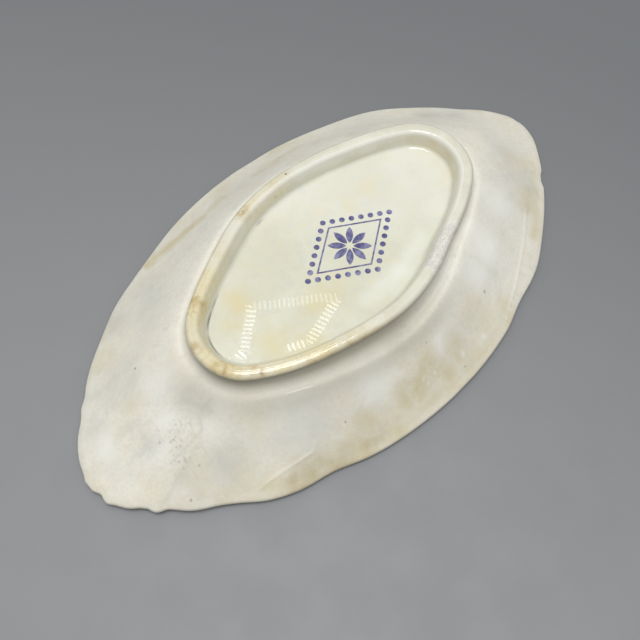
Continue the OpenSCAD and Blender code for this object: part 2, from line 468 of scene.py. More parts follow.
class Nodes:
    """Node tree with a short method for each kind of node that glazes, lamps and sky share."""

    def __init__(self, tree):
        self.nodes = tree.nodes
        self.links = tree.links

    def output(self, kind, name):
        return self.nodes.new(kind).outputs[name]

    def feed(self, socket, value):
        """Link a node's output to a socket, or set the socket to a constant."""
        if isinstance(value, bpy.types.NodeSocket):
            self.links.new(value, socket)
        else:
            socket.default_value = value

    def math(self, operation, a, b=0.0):
        node = self.nodes.new("ShaderNodeMath")
        node.operation = operation
        self.feed(node.inputs[0], a)
        self.feed(node.inputs[1], b)
        return node.outputs[0]

    def times(self, a, b):
        return self.math("MULTIPLY", a, b)

    def most(self, a, b):
        return self.math("MAXIMUM", a, b)

    def vector_math(self, operation, a, b, output=0):
        node = self.nodes.new("ShaderNodeVectorMath")
        node.operation = operation
        self.feed(node.inputs[0], a)
        self.feed(node.inputs[1], b)
        return node.outputs[output]

    def scaled(self, vector, share):
        node = self.nodes.new("ShaderNodeVectorMath")
        node.operation = "SCALE"
        self.feed(node.inputs["Vector"], vector)
        self.feed(node.inputs["Scale"], share)
        return node.outputs[0]

    def dot(self, a, b):
        return self.vector_math("DOT_PRODUCT", a, b, 1)

    def upward(self, vector):
        """Z part of a vector."""
        node = self.nodes.new("ShaderNodeSeparateXYZ")
        self.feed(node.inputs[0], vector)
        return node.outputs["Z"]

    def ramp(self, value, low, high, to_low=0.0, to_high=1.0, kind="SMOOTHSTEP"):
        """Step of a value from one range to another, smooth unless another kind is given."""
        node = self.nodes.new("ShaderNodeMapRange")
        node.interpolation_type = kind
        self.feed(node.inputs["Value"], value)
        self.feed(node.inputs["From Min"], low)
        self.feed(node.inputs["From Max"], high)
        self.feed(node.inputs["To Min"], to_low)
        self.feed(node.inputs["To Max"], to_high)
        return node.outputs["Result"]


class Shader(Nodes):
    """Material with a short method for each kind of mottle, stain and unevenness that the glazes need."""

    def __init__(self, name):
        self.material = bpy.data.materials.new(name)
        self.material.use_nodes = True
        super().__init__(self.material.node_tree)
        self.surface = self.nodes["Principled BSDF"]
        self.place = self.output("ShaderNodeTexCoord", "Object")
        self.plan = self.vector_math("MULTIPLY", self.place, (1, 1, 0))

    def noise(self, size, detail=3.0, rough=0.5, output="Fac"):
        """Noise with features of about the given size in millimetres."""
        node = self.nodes.new("ShaderNodeTexNoise")
        self.feed(node.inputs["Vector"], self.place)
        node.inputs["Scale"].default_value = 1 / (size * MM)
        node.inputs["Detail"].default_value = detail
        node.inputs["Roughness"].default_value = rough
        return node.outputs[output]

    def mix(self, share, a, b):
        node = self.nodes.new("ShaderNodeMix")
        node.data_type = "RGBA"
        self.feed(node.inputs[0], share)
        self.feed(node.inputs[6], a)
        self.feed(node.inputs[7], b)
        return node.outputs[2]

    def height(self):
        """Height above the table, in millimetres."""
        return self.math("DIVIDE", self.upward(self.place), MM)

    def above(self, low, high, strength=1.0):
        """Smooth step between two heights above the seat: none at the first and full at the second."""
        return self.ramp(self.height(), SEAT_Z + low, SEAT_Z + high, 0.0, strength)

    def along(self, place, way, start, full):
        """Smooth step between two distances along a way on the plan, in millimetres."""
        return self.ramp(self.dot(place, Vector(way) / MM), start, full)

    def facing_up(self):
        """Upward part of the surface's facing: 1 for level faces, 0 for upright ones, less for undercuts."""
        return self.upward(self.output("ShaderNodeNewGeometry", "Normal"))

    def warped(self, size, reach):
        """Places on the plan pushed about by noise, so that stains get ragged edges."""
        push = self.vector_math("SUBTRACT", self.noise(size, output="Color"), (0.5, 0.5, 0.5))
        push = self.vector_math("MULTIPLY", push, (reach * MM, reach * MM, 0))
        return self.vector_math("ADD", self.plan, push)

    def mottled(self, colour, *mottles):
        """Colour under mottles, one over another."""
        for tint, size, detail, rough, start, full, strength in mottles:
            share = self.ramp(self.noise(size, detail, rough), start, full, 0.0, strength)
            colour = self.mix(share, colour, tint)
        return colour

    def broken(self, share, size, detail, start, full, least=0.0, most=1.0):
        """Share broken up by noise."""
        return self.times(share, self.ramp(self.noise(size, detail), start, full, least, most))

    def blot(self, place, centre, radius, strength):
        """Soft round stain."""
        away = self.vector_math("DISTANCE", place, Vector((*centre, 0)) * MM, 1)
        return self.ramp(away, radius * MM, 0.0, 0.0, strength)

    def blots(self, place, spots):
        """Strongest of several stains."""
        total = 0.0
        for x, y, radius, strength in spots:
            total = self.most(self.blot(place, (x, y), radius, strength), total)
        return total

    def stroke(self, place, start, end, half, strength):
        """Soft line between two points."""
        start, end = Vector((*start, 0)) * MM, Vector((*end, 0)) * MM
        run = end - start
        from_start = self.vector_math("SUBTRACT", place, start)
        share = self.math("DIVIDE", self.dot(from_start, run), run.length_squared)
        share = self.math("MINIMUM", self.most(share, 0.0), 1.0)
        away = self.vector_math("DISTANCE", from_start, self.scaled(run, share), 1)
        return self.ramp(away, half * MM, 0.0, 0.0, strength)

    def streaked(self, colour, place, streaks, tint, share=1.0):
        """Colour under streaks, one over another."""
        for streak in streaks:
            colour = self.mix(self.times(self.stroke(place, *streak), share), colour, tint)
        return colour

    def specks(self, cell, radius, share, strength):
        """Scattered dots: a share of the cells of the given size hold one."""
        node = self.nodes.new("ShaderNodeTexVoronoi")
        self.feed(node.inputs["Vector"], self.place)
        node.inputs["Scale"].default_value = 1 / (cell * MM)
        dot = self.ramp(node.outputs["Distance"], radius / cell, 0.3 * radius / cell, 0.0, strength)
        pick = self.nodes.new("ShaderNodeSeparateColor")
        self.feed(pick.inputs[0], node.outputs["Color"])
        return self.times(dot, self.math("LESS_THAN", pick.outputs[0], share))

    def dulled(self, size, detail, least, most):
        """Roughness that wanders between two values."""
        return self.ramp(self.noise(size, detail), 0.3, 0.7, least, most)

    def uneven(self, waves):
        """Normals of a surface with fine waves, from the coarsest to the finest."""
        normal = None
        for size, detail, rough, depth in waves:
            node = self.nodes.new("ShaderNodeBump")
            node.inputs["Distance"].default_value = depth * MM
            self.feed(node.inputs["Height"], self.noise(size, detail, rough))
            if normal is not None:
                self.feed(node.inputs["Normal"], normal)
            normal = node.outputs["Normal"]
        return normal

    def finish(self, colour, roughness, waves):
        self.feed(self.surface.inputs["Base Color"], colour)
        self.feed(self.surface.inputs["Roughness"], roughness)
        self.feed(self.surface.inputs["Normal"], self.uneven(waves))
        return self.material


# Colours of the glazes, the clay and their stains, and of painted shade
BACK_WHITE = srgb(231, 228, 214)
BACK_GREY = srgb(222, 220, 209)
BACK_WARM = srgb(219, 208, 184)
# Pale of stains and of the face, also used for painted highlights
BACK_PALE = srgb(236, 235, 227)
TAN = srgb(205, 193, 156)
SMOKE = srgb(196, 196, 188)
# Grey of the pit fields, and of the painted shade in the cove round the ring
GRIME_AND_SHADE = srgb(166, 162, 146)
# Dark grey of the painted shade under the lip
UNDER_LIP_SHADE = srgb(112, 107, 96)
FINE_GREY = srgb(203, 199, 185)
# White of the painted reflection on the well's floor
WHITE = srgb(228, 229, 219)
CREAM = srgb(208, 207, 187)
CREAM_PALE = srgb(215, 215, 199)
YELLOW = srgb(213, 202, 161)
RING_CREAM = srgb(212, 209, 190)
RING_PALE = srgb(222, 220, 204)
RING_YELLOW = srgb(219, 205, 160)
BROWN = srgb(177, 149, 92)
# Tea of stains, also used for painted shade on the ring's shoulder
TEA_AND_SHADE = srgb(158, 143, 107)
FACE_WARM = srgb(230, 228, 217)
DIRT = srgb(96, 84, 66)
PIT_GREY = srgb(152, 148, 142)
CLAY = srgb(216, 213, 202)
INK = srgb(72, 72, 118)
INK_PALE = srgb(132, 131, 164)

# Mottles, as (colour, size, detail, roughness, noise where it starts, noise where it is full, strength)
BACK_MOTTLES = [
    (BACK_GREY, 30, 4, 0.6, 0.35, 0.7, 1.0), (BACK_WARM, 13, 5, 0.65, 0.45, 0.75, 0.45),
    (BACK_WARM, 2.5, 5, 0.7, 0.4, 0.75, 0.3), (SMOKE, 4, 5, 0.7, 0.5, 0.75, 0.4),
]
WELL_MOTTLES = [
    (CREAM_PALE, 25, 3, 0.5, 0.35, 0.65, 1.0), (YELLOW, 3, 5, 0.7, 0.42, 0.72, 0.4),
    (SMOKE, 5, 5, 0.7, 0.45, 0.72, 0.4),
]
RING_MOTTLE = (RING_PALE, 12, 4, 0.5, 0.35, 0.65, 1.0)
RING_FLECKS = (RING_PALE, 3, 5, 0.7, 0.48, 0.7, 0.6)
BARE_GRAINS = (BACK_PALE, 0.7, 3, 0.5, 0.5, 0.65, 0.7)
FACE_MOTTLE = (FACE_WARM, 40, 3, 0.5, 0.35, 0.65, 1.0)
INK_MOTTLE = (INK_PALE, 2.5, 4, 0.6, 0.35, 0.7, 1.0)

# Specks, as (cell, radius, share of the cells that hold one, strength)
PIT_SPECKS = (1.9, 0.8, 0.9, 0.55)
BACK_SPECKS = (9, 0.3, 0.12, 0.35)
WELL_SPECKS = (7, 0.25, 0.12, 0.4)
FACE_SPECKS = (14, 0.3, 0.15, 0.4)
CLAY_SPECKS = (4, 0.3, 0.3, 0.5)

# Roughness, as (size, detail, least, most) of the noise that it follows
BACK_DULL = (10, 4, 0.45, 0.6)
WELL_DULL = (8, 3, 0.015, 0.03)
CLAY_DULL = (5, 3, 0.45, 0.7)
SLIP_DULL = (4, 3, 0.6, 0.8)
FACE_DULL = (12, 3, 0.08, 0.16)
INK_DULL = (4, 2, 0.12, 0.25)
FLOOR_DULL = (20, 3, 0.55, 0.65)
RING_GLOSS = 0.07
BARE_DULL = 0.75
WELL_RING_DULLER = 0.02

# Unevenness, as waves of (size, detail, roughness, depth)
BACK_WAVES = [(9, 2, 0.5, 0.2), (2.2, 4, 0.6, 0.05)]
WELL_WAVES = [(20, 0, 0.5, 0.03), (6, 0, 0.5, 0.0025)]
TREAD_WAVES = [(6, 1, 0.5, 0.04), (1.5, 1, 0.5, 0.003)]
CLAY_WAVES = [(1, 4, 0.5, 0.06)]
SLIP_WAVES = [(1, 4, 0.5, 0.08)]
FACE_WAVES = [(6, 2, 0.5, 0.05)]
INK_WAVES = [(1.5, 2, 0.5, 0.01)]
FLOOR_WAVES = [(1, 3, 0.5, 0.02)]

# Ragged edges of stains, painted highlights and painted reflections, as (size, reach) of the noise that
# pushes them about
WIDE_EDGES = (9, 8)
BACK_EDGES = (4, 2)
WELL_EDGES = (4, 1.5)
CREASE_EDGES = (5, 0.8)

# Heights above the seat where a tint starts and is full, with its strength where it isn't 1
# The next two set the painted shade in the cove round the ring
COVE_SHADE_LOW = (-6.0, 0.4, 0.55)
COVE_SHADE_HIGH = (0.3, 3.0, 0.5)
BACK_RING = (4.4, 6.0)
# Heights of the ring's shoulder, under the crest, for its tea stain and painted shade
BELOW_CREST = (6.8, 5.2)
WELL_FLOOR = (1.2, 0.5, 0.3)
WELL_RING = (0.6, 3.5)
# Heights for the painted highlight high on the well's wall, on the far side
WALL_HIGHLIGHT = (2.5, 6.4, 0.5)
STAINED_WALL = (6.0, 4.0)
CORNER_LOW = (0.33, 0.45)
CORNER_HIGH = (1.1, 0.55)

# Heights above the table where the wall's tan and the painted shade under the lip start and are full
TAN_LOW_DOWN = (9, 3)
LIP_SHADE_LOW_DOWN = (8, 5)

# Ways on the plan along which a tint comes in, with the distances where it starts and is full
FAR_SIDE = ((0.7, 0.7, 0.0), 0, 20)
# Way along which the painted shade in the cove comes in
COVE_SHADE_SIDE = ((-0.45, -0.89, 0.0), 20, 44)
OLD_END = ((-0.95, -0.2, 0.0), 12, 45)

# Stains on the plan, as (x, y, radius, strength), and streaks, as (start, end, half width, strength)
TAN_STAINS = [
    (-7, -55, 10, 0.9), (-1, -60, 8, 0.85), (-14, -57, 10, 1.0), (-21, -57, 9, 0.85), (7, -58, 9, 0.7),
    (13, -63, 9, 0.6), (23, -57, 14, 0.5), (-36, -54, 8, 0.8), (-77, -36, 9, 0.35), (-94, -24, 8, 0.5),
    (-64, -27, 9, 0.3), (37, -59, 7, 0.6), (32, -49, 5, 0.25), (-10, -43, 8, 0.35), (93, -18, 11, 0.4),
    (-91, 9, 7, 0.35), (-88, 34, 10, 0.45), (-5, 62, 9, 0.4), (15, 53, 9, 0.4), (-80, -35, 12, 0.5),
    (-91, -27, 12, 0.5), (-103, -19, 10, 0.35), (84, -34, 13, 0.5), (96, -22, 12, 0.5), (-76, 44, 10, 0.4),
]
TAN_STREAKS = [
    ((-49, 56), (-23, 53.5), 4.5, 0.9), ((-25, 53.5), (-10, 55.5), 4, 0.5), ((7, 53), (34, 53.5), 4, 0.4),
    ((101, -23), (72, -47), 4, 0.6), ((-28, -62), (-46, -58), 11, 0.85), ((-46, -58), (-67, -50), 11, 0.85),
    ((-67, -50), (-89, -37), 9, 0.7), ((-22, -63), (5, -65.5), 9, 0.6), ((5, -65.5), (36, -63), 8, 0.6),
]
DEEP_STREAKS = [
    ((-36, -58.5), (-40, -57.5), 6, 0.3), ((-50, -56), (-67, -49.5), 8, 0.4), ((80, -36), (88, -31), 6, 0.25),
]
SMOKE_STAINS = [
    (-97, -6, 8, 0.6), (-96, 1, 5, 0.4), (-76, -6, 8, 0.5), (-76, -13, 7, 0.5), (-97, 22, 9, 0.4),
    (-86, 25, 10, 0.35), (-106, 13, 7, 0.4), (88, 26, 10, 0.8), (98, 19, 8, 0.7), (86, 6, 5, 0.6),
    (-10, -40, 9, 0.5), (-61, 37, 18, 0.45), (-89, 20, 16, 0.4), (-54, -38, 16, 0.6), (88, -12, 14, 0.4),
    (-82, -31, 16, 0.6), (-95, -24, 12, 0.5), (90, -26, 14, 0.5), (-75, 43, 12, 0.5), (50, 36, 14, 0.4),
]
PALE_STAINS = [
    (-87, -6, 9, 0.65), (-107, 5, 8, 0.7), (-71, -16, 7, 0.5), (-79, 5, 10, 0.5), (-78, -19, 7, 0.5),
    (2, -53, 8, 0.6), (-27, -47, 11, 0.6), (65, -29, 14, 0.8), (45, -38, 14, 0.9), (33, -45, 10, 0.9),
    (-20, -64, 6, 0.5), (-54, -38, 12, 0.5), (-95, -12, 9, 0.5),
]
PALE_FLECKS = [
    (-5.5, -57.7, 1.3, 0.5), (-10.8, -56.3, 1.0, 0.4), (-10.1, -58.4, 0.9, 0.4), (20.1, -60.6, 2.0, 0.55),
    (8.1, -59.9, 1.6, 0.5), (40.7, -58.6, 1.6, 0.6), (37.4, -59.8, 1.3, 0.6), (33.5, -61.0, 1.3, 0.5),
]
BACK_PITS = [
    (-97.6, -29.1, 0.8, 0.55), (-82.2, 17.9, 0.7, 0.7), (-88.1, -23.6, 0.7, 0.4), (-42.4, -48.1, 0.6, 0.6),
    (-2.8, -49.3, 0.6, 0.4), (6.1, -63.3, 0.6, 0.5), (31.6, -49.7, 1.0, 0.5),
]
PIT_FIELDS = [
    (-92, -8, 6, 1.0), (-89, -14, 7, 1.0), (-91, -18, 6, 0.9), (-9, -41, 6, 1.0), (-86, -11, 6, 0.6),
]
HAIRLINES = [
    ((-78, -14), (-80, -17), 1.2, 0.4), ((-80, -17), (-94, -16), 0.9, 0.4),
    ((-72, -13), (-76, -13), 1.4, 0.5), ((-78, -5), (-74, -15), 1.8, 0.5),
]
YELLOW_STAINS = [
    (-41, 8, 10, 0.9), (-46, 2, 8, 0.6), (17, 11, 8, 0.8), (29, 11, 8, 0.9), (9, 16, 7, 0.6),
    (-23, -14, 13, 0.8), (-42, -13, 12, 0.7), (-14, -12, 11, 0.6), (-32, -20, 12, 0.7), (64, 2, 9, 0.9),
    (56, -10, 9, 0.8), (62, 9, 7, 0.5),
]
# Painted reflection of the light on the well's floor, as streaks
REFLECTED_BAND = [((27, -20), (10, -24), 6, 0.42), ((10, -24), (-7, -24), 6, 0.42)]
RING_STAINS = [
    (-65, 2, 5, 0.8), (-63, -10, 6, 0.9), (-57.5, -18, 6, 1.0), (-53, 15, 5, 0.8), (-16, 32.5, 4.5, 1.0),
    (-54.4, -20, 3, 1.0), (-40, -29.5, 4, 0.6), (-33, -32.5, 4, 0.6),
    (-26, -34.5, 4, 0.7), (-20, -36.2, 4, 0.8), (-15, -37.4, 4, 0.8), (-9, -38.4, 3.5, 0.6),
]
WALL_STAINS = [(60, -12, 7, 0.6), (64, -4, 9, 0.8), (65, 6, 9, 0.8), (60, 15, 8, 0.5)]
RING_PITS = [(7.7, 34, 0.8, 1.0), (-54.4, -20, 0.9, 0.8), (-15.7, 32.5, 0.8, 0.6)]
CORNER_DIRT = [(-47, 13, 6, 0.45), (-52, 9, 7, 0.8), (-57, 1, 8, 0.65), (-12, 27, 3, 0.4)]
OLD_PATCHES = [(2, 34, 12, 1.0), (-12, 33, 12, 1.0)]
WORN_END = (-88, -10, 26, 1.0)
# Tea stain and painted shade on the ring's shoulder along one side
SHOULDER_TEA_AND_SHADE = (-22, -36, 32, 0.9)
# Strength of the painted highlights along the creases
GLINT = 0.3


def bare_patch(shader, place):
    """Share of the bare patch on the ring's tread, between two bearings."""
    ends = [np.radians(angle) for angle in (BARE_FROM, BARE_TO)]
    reach = [ring_reach(angle, RING_T / 2) for angle in ends]
    start, end = [(r * np.cos(a), r * np.sin(a)) for a, r in zip(ends, reach)]
    patch = shader.stroke(place, start, end, 8, 1.0)
    return shader.ramp(shader.math("ADD", patch, shader.noise(2.5, 3)), 0.7, 1.15)


def bare_clay(shader):
    """Bare clay, with pale grains and fine winding pits."""
    away = shader.math("ABSOLUTE", shader.math("SUBTRACT", shader.noise(1.3, 4, 0.65), 0.5))
    return shader.mix(shader.ramp(away, 0.04, 0.01, 0.0, 0.45), shader.mottled(CLAY, BARE_GRAINS), PIT_GREY)


def ring_age(shader, place):
    """Share of the ring's yellowing, which is towards one end and in patches."""
    age = shader.most(shader.along(place, *OLD_END), shader.blots(place, OLD_PATCHES))
    return shader.broken(age, 9, 4, 0.3, 0.65, 0.4, 0.88)


def ring_colour(shader, place):
    """Cream of the foot ring, yellow where it is old, with brown stains, pits, a bare patch and a painted
    highlight round the patch's edge.
    """
    age = ring_age(shader, place)
    colour = shader.mix(age, shader.mottled(RING_CREAM, RING_MOTTLE), RING_YELLOW)
    colour = shader.mottled(colour, RING_FLECKS, (BROWN, 2, 5, 0.7, 0.5, 0.75, shader.times(age, 0.6)))
    colour = shader.mix(shader.broken(shader.blots(place, RING_STAINS), 4, 4, 0.3, 0.7), colour, BROWN)
    bare = bare_patch(shader, place)
    colour = shader.mix(bare, colour, bare_clay(shader))
    # Painted highlight: a pale line where the glaze ends round the bare patch
    glaze_edge_highlight = shader.times(bare, shader.math("SUBTRACT", 1.0, bare))
    colour = shader.mix(shader.times(glaze_edge_highlight, 1.2), colour, BACK_PALE)
    return shader.mix(shader.blots(shader.plan, RING_PITS), colour, DIRT)


def back_ground(shader, place):
    """Mottled off-white of the back, with finer grey mottles at its worn end and pale stains."""
    worn = shader.ramp(shader.blots(place, [WORN_END]), 0.0, 1.0, 0.25, 0.6)
    colour = shader.mottled(BACK_WHITE, *BACK_MOTTLES, (FINE_GREY, 1.3, 3, 0.6, 0.42, 0.68, worn))
    return shader.mix(shader.blots(place, PALE_STAINS), colour, BACK_PALE)


def back_stains(shader, colour, place, near):
    """Tan stains, most of them along the rim, then pale flecks, smoky stains and hairlines."""
    cloud = shader.ramp(shader.noise(9, 6, 0.65), 0.3, 0.65, 0.5, 1.0)
    tan = shader.broken(shader.ramp(shader.height(), *TAN_LOW_DOWN), 20, 4, 0.45, 0.7, 0.0, 0.5)
    tan = shader.most(tan, shader.blots(place, TAN_STAINS))
    for streak in TAN_STREAKS:
        tan = shader.most(tan, shader.stroke(place, *streak))
    colour = shader.mix(shader.times(tan, cloud), colour, TAN)
    colour = shader.streaked(colour, place, DEEP_STREAKS, TEA_AND_SHADE, cloud)
    colour = shader.mix(shader.blots(near, PALE_FLECKS), colour, BACK_PALE)
    colour = shader.mix(shader.times(shader.blots(place, SMOKE_STAINS), cloud), colour, SMOKE)
    return shader.streaked(colour, near, HAIRLINES, SMOKE)


def back_pits(shader, colour, place):
    """Fields of shallow pits, scattered specks and single dark pits."""
    pits = shader.times(shader.specks(*PIT_SPECKS), shader.blots(place, PIT_FIELDS))
    colour = shader.mix(pits, colour, GRIME_AND_SHADE)
    colour = shader.mix(shader.specks(*BACK_SPECKS), colour, DIRT)
    return shader.mix(shader.blots(shader.plan, BACK_PITS), colour, DIRT)


def back_painted_shade(shader, colour):
    """Painted shade under the lip, where its surface turns downward, and in the cove round one side of the
    ring.
    """
    # Painted shade: low on the lip, the colour darkens where the surface turns downward
    lip_shade = shader.ramp(shader.facing_up(), 0.3, -0.25, 0.0, 0.8)
    lip_shade = shader.times(lip_shade, shader.ramp(shader.height(), *LIP_SHADE_LOW_DOWN))
    colour = shader.mix(lip_shade, colour, UNDER_LIP_SHADE)
    # Painted shade: the cove round the ring darkens along one side
    cove = shader.math("ADD", shader.above(*COVE_SHADE_LOW), shader.above(*COVE_SHADE_HIGH))
    return shader.mix(shader.times(shader.along(shader.place, *COVE_SHADE_SIDE), cove), colour, GRIME_AND_SHADE)


def crease_glints():
    """Painted highlights: pale streaks along the creases, which fade towards their ends."""
    glints = []
    for path, _, half in CREASES:
        count = len(path) - 1
        for i in range(count):
            glints.append((path[i], path[i + 1], half, GLINT * np.sin(np.pi * (i + 0.5) / count)))
    return glints


def back_material():
    """Worn, dull, off-white glaze on the outside, which turns to the ring's cream up the ring."""
    shader = Shader("back_glaze")
    place = shader.warped(*WIDE_EDGES)
    near = shader.warped(*BACK_EDGES)
    colour = back_stains(shader, back_ground(shader, place), place, near)
    colour = back_painted_shade(shader, back_pits(shader, colour, place))
    # Painted highlights along the creases
    colour = shader.streaked(colour, shader.warped(*CREASE_EDGES), crease_glints(), BACK_PALE)
    up_ring = shader.above(*BACK_RING)
    colour = shader.mix(up_ring, colour, ring_colour(shader, near))
    # Tea stain and painted shade on the ring's shoulder, just under the crest
    shoulder = shader.times(up_ring, shader.above(*BELOW_CREST))
    colour = shader.mix(shader.times(shoulder, shader.blots(near, [SHOULDER_TEA_AND_SHADE])), colour, TEA_AND_SHADE)
    roughness = shader.ramp(up_ring, 0.0, 1.0, shader.dulled(*BACK_DULL), RING_GLOSS)
    return shader.finish(colour, roughness, BACK_WAVES)


def well_floor(shader, near, far_side):
    """Mottled cream of the well's floor, with yellow stains, a painted reflection as a pale band, and paler
    on the far side.
    """
    stains = shader.blots(shader.warped(*WIDE_EDGES), YELLOW_STAINS)
    colour = shader.mottled(CREAM, *WELL_MOTTLES)
    colour = shader.mix(shader.broken(stains, 10, 4, 0.25, 0.6), colour, YELLOW)
    # Painted reflection: a pale band across the near part of the well's floor
    colour = shader.streaked(colour, near, REFLECTED_BAND, WHITE)
    return shader.mix(shader.times(far_side, shader.above(*WELL_FLOOR)), colour, BACK_PALE)


def well_wall(shader, colour, near, far_side, up_ring):
    """Ring's cream on the well's wall, with a painted highlight high on the far side, and tan at one end."""
    colour = shader.mix(up_ring, colour, ring_colour(shader, near))
    # Painted highlight: the upper wall is paler on the far side
    colour = shader.mix(shader.times(far_side, shader.above(*WALL_HIGHLIGHT)), colour, BACK_PALE)
    stained = shader.times(up_ring, shader.above(*STAINED_WALL))
    return shader.mix(shader.times(stained, shader.blots(near, WALL_STAINS)), colour, TAN)


def well_material():
    """Glossy cream glaze in the well, with dirt in its corner and a fine ripple."""
    shader = Shader("well_glaze")
    near = shader.warped(*WELL_EDGES)
    far_side = shader.along(shader.place, *FAR_SIDE)
    up_ring = shader.above(*WELL_RING)
    colour = well_wall(shader, well_floor(shader, near, far_side), near, far_side, up_ring)
    in_corner = shader.times(shader.above(*CORNER_LOW), shader.above(*CORNER_HIGH))
    colour = shader.mix(shader.times(in_corner, shader.blots(near, CORNER_DIRT)), colour, DIRT)
    colour = shader.mix(shader.specks(*WELL_SPECKS), colour, DIRT)
    roughness = shader.math("ADD", shader.dulled(*WELL_DULL), shader.times(up_ring, WELL_RING_DULLER))
    return shader.finish(colour, roughness, WELL_WAVES)


def tread_material():
    """Glazed ring with a wiped tread: cream to yellow, with a bare, pitted patch."""
    shader = Shader("tread")
    near = shader.warped(*BACK_EDGES)
    roughness = shader.ramp(bare_patch(shader, near), 0.0, 1.0, RING_GLOSS, BARE_DULL)
    return shader.finish(ring_colour(shader, near), roughness, TREAD_WAVES)


def clay_material():
    """Bare clay of the shell, which shows at the worn lip."""
    shader = Shader("clay")
    colour = shader.mix(shader.noise(8, 4), CLAY, BACK_WHITE)
    colour = shader.mix(shader.specks(*CLAY_SPECKS), colour, BROWN)
    return shader.finish(colour, shader.dulled(*CLAY_DULL), CLAY_WAVES)


def slip_material():
    """Slip under the glaze."""
    shader = Shader("slip")
    colour = shader.mix(shader.noise(6, 4), CLAY, RING_CREAM)
    return shader.finish(colour, shader.dulled(*SLIP_DULL), SLIP_WAVES)


def face_material():
    """Clean off-white glaze of the serving face."""
    shader = Shader("face_glaze")
    colour = shader.mix(shader.specks(*FACE_SPECKS), shader.mottled(BACK_PALE, FACE_MOTTLE), DIRT)
    return shader.finish(colour, shader.dulled(*FACE_DULL), FACE_WAVES)


def ink_material():
    """Blue-violet print of uneven density."""
    shader = Shader("print")
    return shader.finish(shader.mottled(INK, INK_MOTTLE), shader.dulled(*INK_DULL), INK_WAVES)


# Pieces

# Shares of the wall where the lip takes over, and where the face's coat ends and begins to thin
LIP_SHARE = 0.965
FACE_SHARE = 0.97
FACE_THINS = 0.9

# Angles that the coats cover on the tread's edges and on the lip, and the share of the coat left at its end
EDGE_SPAN = (0, 88)
LIP_SPAN = (56, -30)
LIP_THIN = 0.03

# Height of the slip's corner off the seat, its depth below the coats, and the well floor's gap from its toe
SLIP_ROOT = 0.02
SLIP_UNDER = 0.05
FLOOR_INSET = 0.5

# Rows of points on a rounded edge of the tread, across the tread and on each side of the shell
EDGE_ROWS = 12
TREAD_ROWS = 10
SHELL_ROWS = 40


def build_back(material):
    """Glaze from the ring's tread down its outer side and out over the wall to the lip."""
    def sheet(coat, slip_rows, edge_rows, wall_rows, lip_rows):
        section = slip_section(fillet_reach(), coat, slip_rows)
        section += tread_section(1, np.linspace(*EDGE_SPAN, edge_rows), coat)
        flank = [flank_row(1, reach, height) for reach, height in section]
        wall = [wall_row(s, coat) for s in np.linspace(0, LIP_SHARE, wall_rows)]
        angles = np.linspace(*LIP_SPAN, lip_rows)
        thin = np.linspace(coat, LIP_THIN * coat, lip_rows)
        lip = [lip_row(a, c) for a, c in zip(angles, thin)]
        return flank[::-1] + wall + lip

    outer = sheet(GLAZE_T, slip_rows=12, edge_rows=EDGE_ROWS, wall_rows=81, lip_rows=10)
    inner = sheet(-SINK, slip_rows=5, edge_rows=4, wall_rows=10, lip_rows=4)
    return banded("back_glaze_coat", outer + inner[::-1], material, "back_glaze", "back_glaze")


def build_well(material):
    """Glaze over the floor of the well and up the ring's inner side to its tread."""
    def flank(coat):
        section = slip_section(FILLET_IN, coat)
        section += tread_section(-1, np.linspace(*EDGE_SPAN, EDGE_ROWS), coat)
        return [flank_row(-1, reach, height) for reach, height in section]

    top, bottom = SEAT_Z + GLAZE_T, SEAT_Z - SINK
    toe = flank_row(-1, FILLET_IN + FLOOR_INSET, 0.0)[:, :2]
    floor = shrunk(toe, np.linspace(0.04, 1, 40), top)
    under = shrunk(toe, np.linspace(0.1, 1, 4), bottom)
    rows = floor + flank(GLAZE_T) + flank(-SINK)[::-1] + under[::-1]
    return lofted("well_glaze_coat", middle(top), rows, middle(bottom), material, "well_glaze", "well_glaze")


def bare_share():
    """Share of the tread's bare patch round the dish."""
    a = np.degrees(bearing(TURNS))
    return smooth(a, *BARE_BEGINS) * smooth(a, *BARE_ENDS)


def build_ring(material):
    """Foot ring: rounded edges, and a crowned tread with a bare patch."""
    def side(sign):
        section = [(0, 0), (0, RING_H / 2)] + tread_section(sign, np.linspace(0, 90, EDGE_ROWS), 0.0)
        return [flank_row(sign, reach, height) for reach, height in section]

    shares = np.linspace(0, 1, TREAD_ROWS)[1:-1]
    width = ring_out() - inner_slim() - TREAD_OUT_EDGE[0] - TREAD_IN_EDGE[0]
    crown = 4 * TREAD_CROWN * shares * (1 - shares)
    flat = [flank_row(1, -TREAD_OUT_EDGE[0] - width * k, RING_H + up) for k, up in zip(shares, crown)]
    for points in flat:
        points[:, 2] -= BARE_DEPTH * bare_share()
    rows = side(1) + flat + side(-1)[::-1]
    return banded("foot_ring_body", rows, material, "clay", "foot_ring")


def build_slip(material):
    """Slip fillets outside and inside the ring, under the glaze."""
    rows = []
    for sign, reach in ((1, fillet_reach()), (-1, FILLET_IN)):
        section = [(0, SLIP_ROOT)] + slip_section(reach, -SLIP_UNDER)
        rows.append([flank_row(sign, out, height) for out, height in section])
    outside, inside = [np.concatenate(r) for r in rows]
    faces = strips(rows[0], True)
    start = len(outside)
    faces += [tuple(start + i for i in face) for face in strips(rows[1], True)]
    points = np.concatenate([outside, inside])
    return make_object("slip_fillets", points, faces, material, "slip", "slip_fillet")


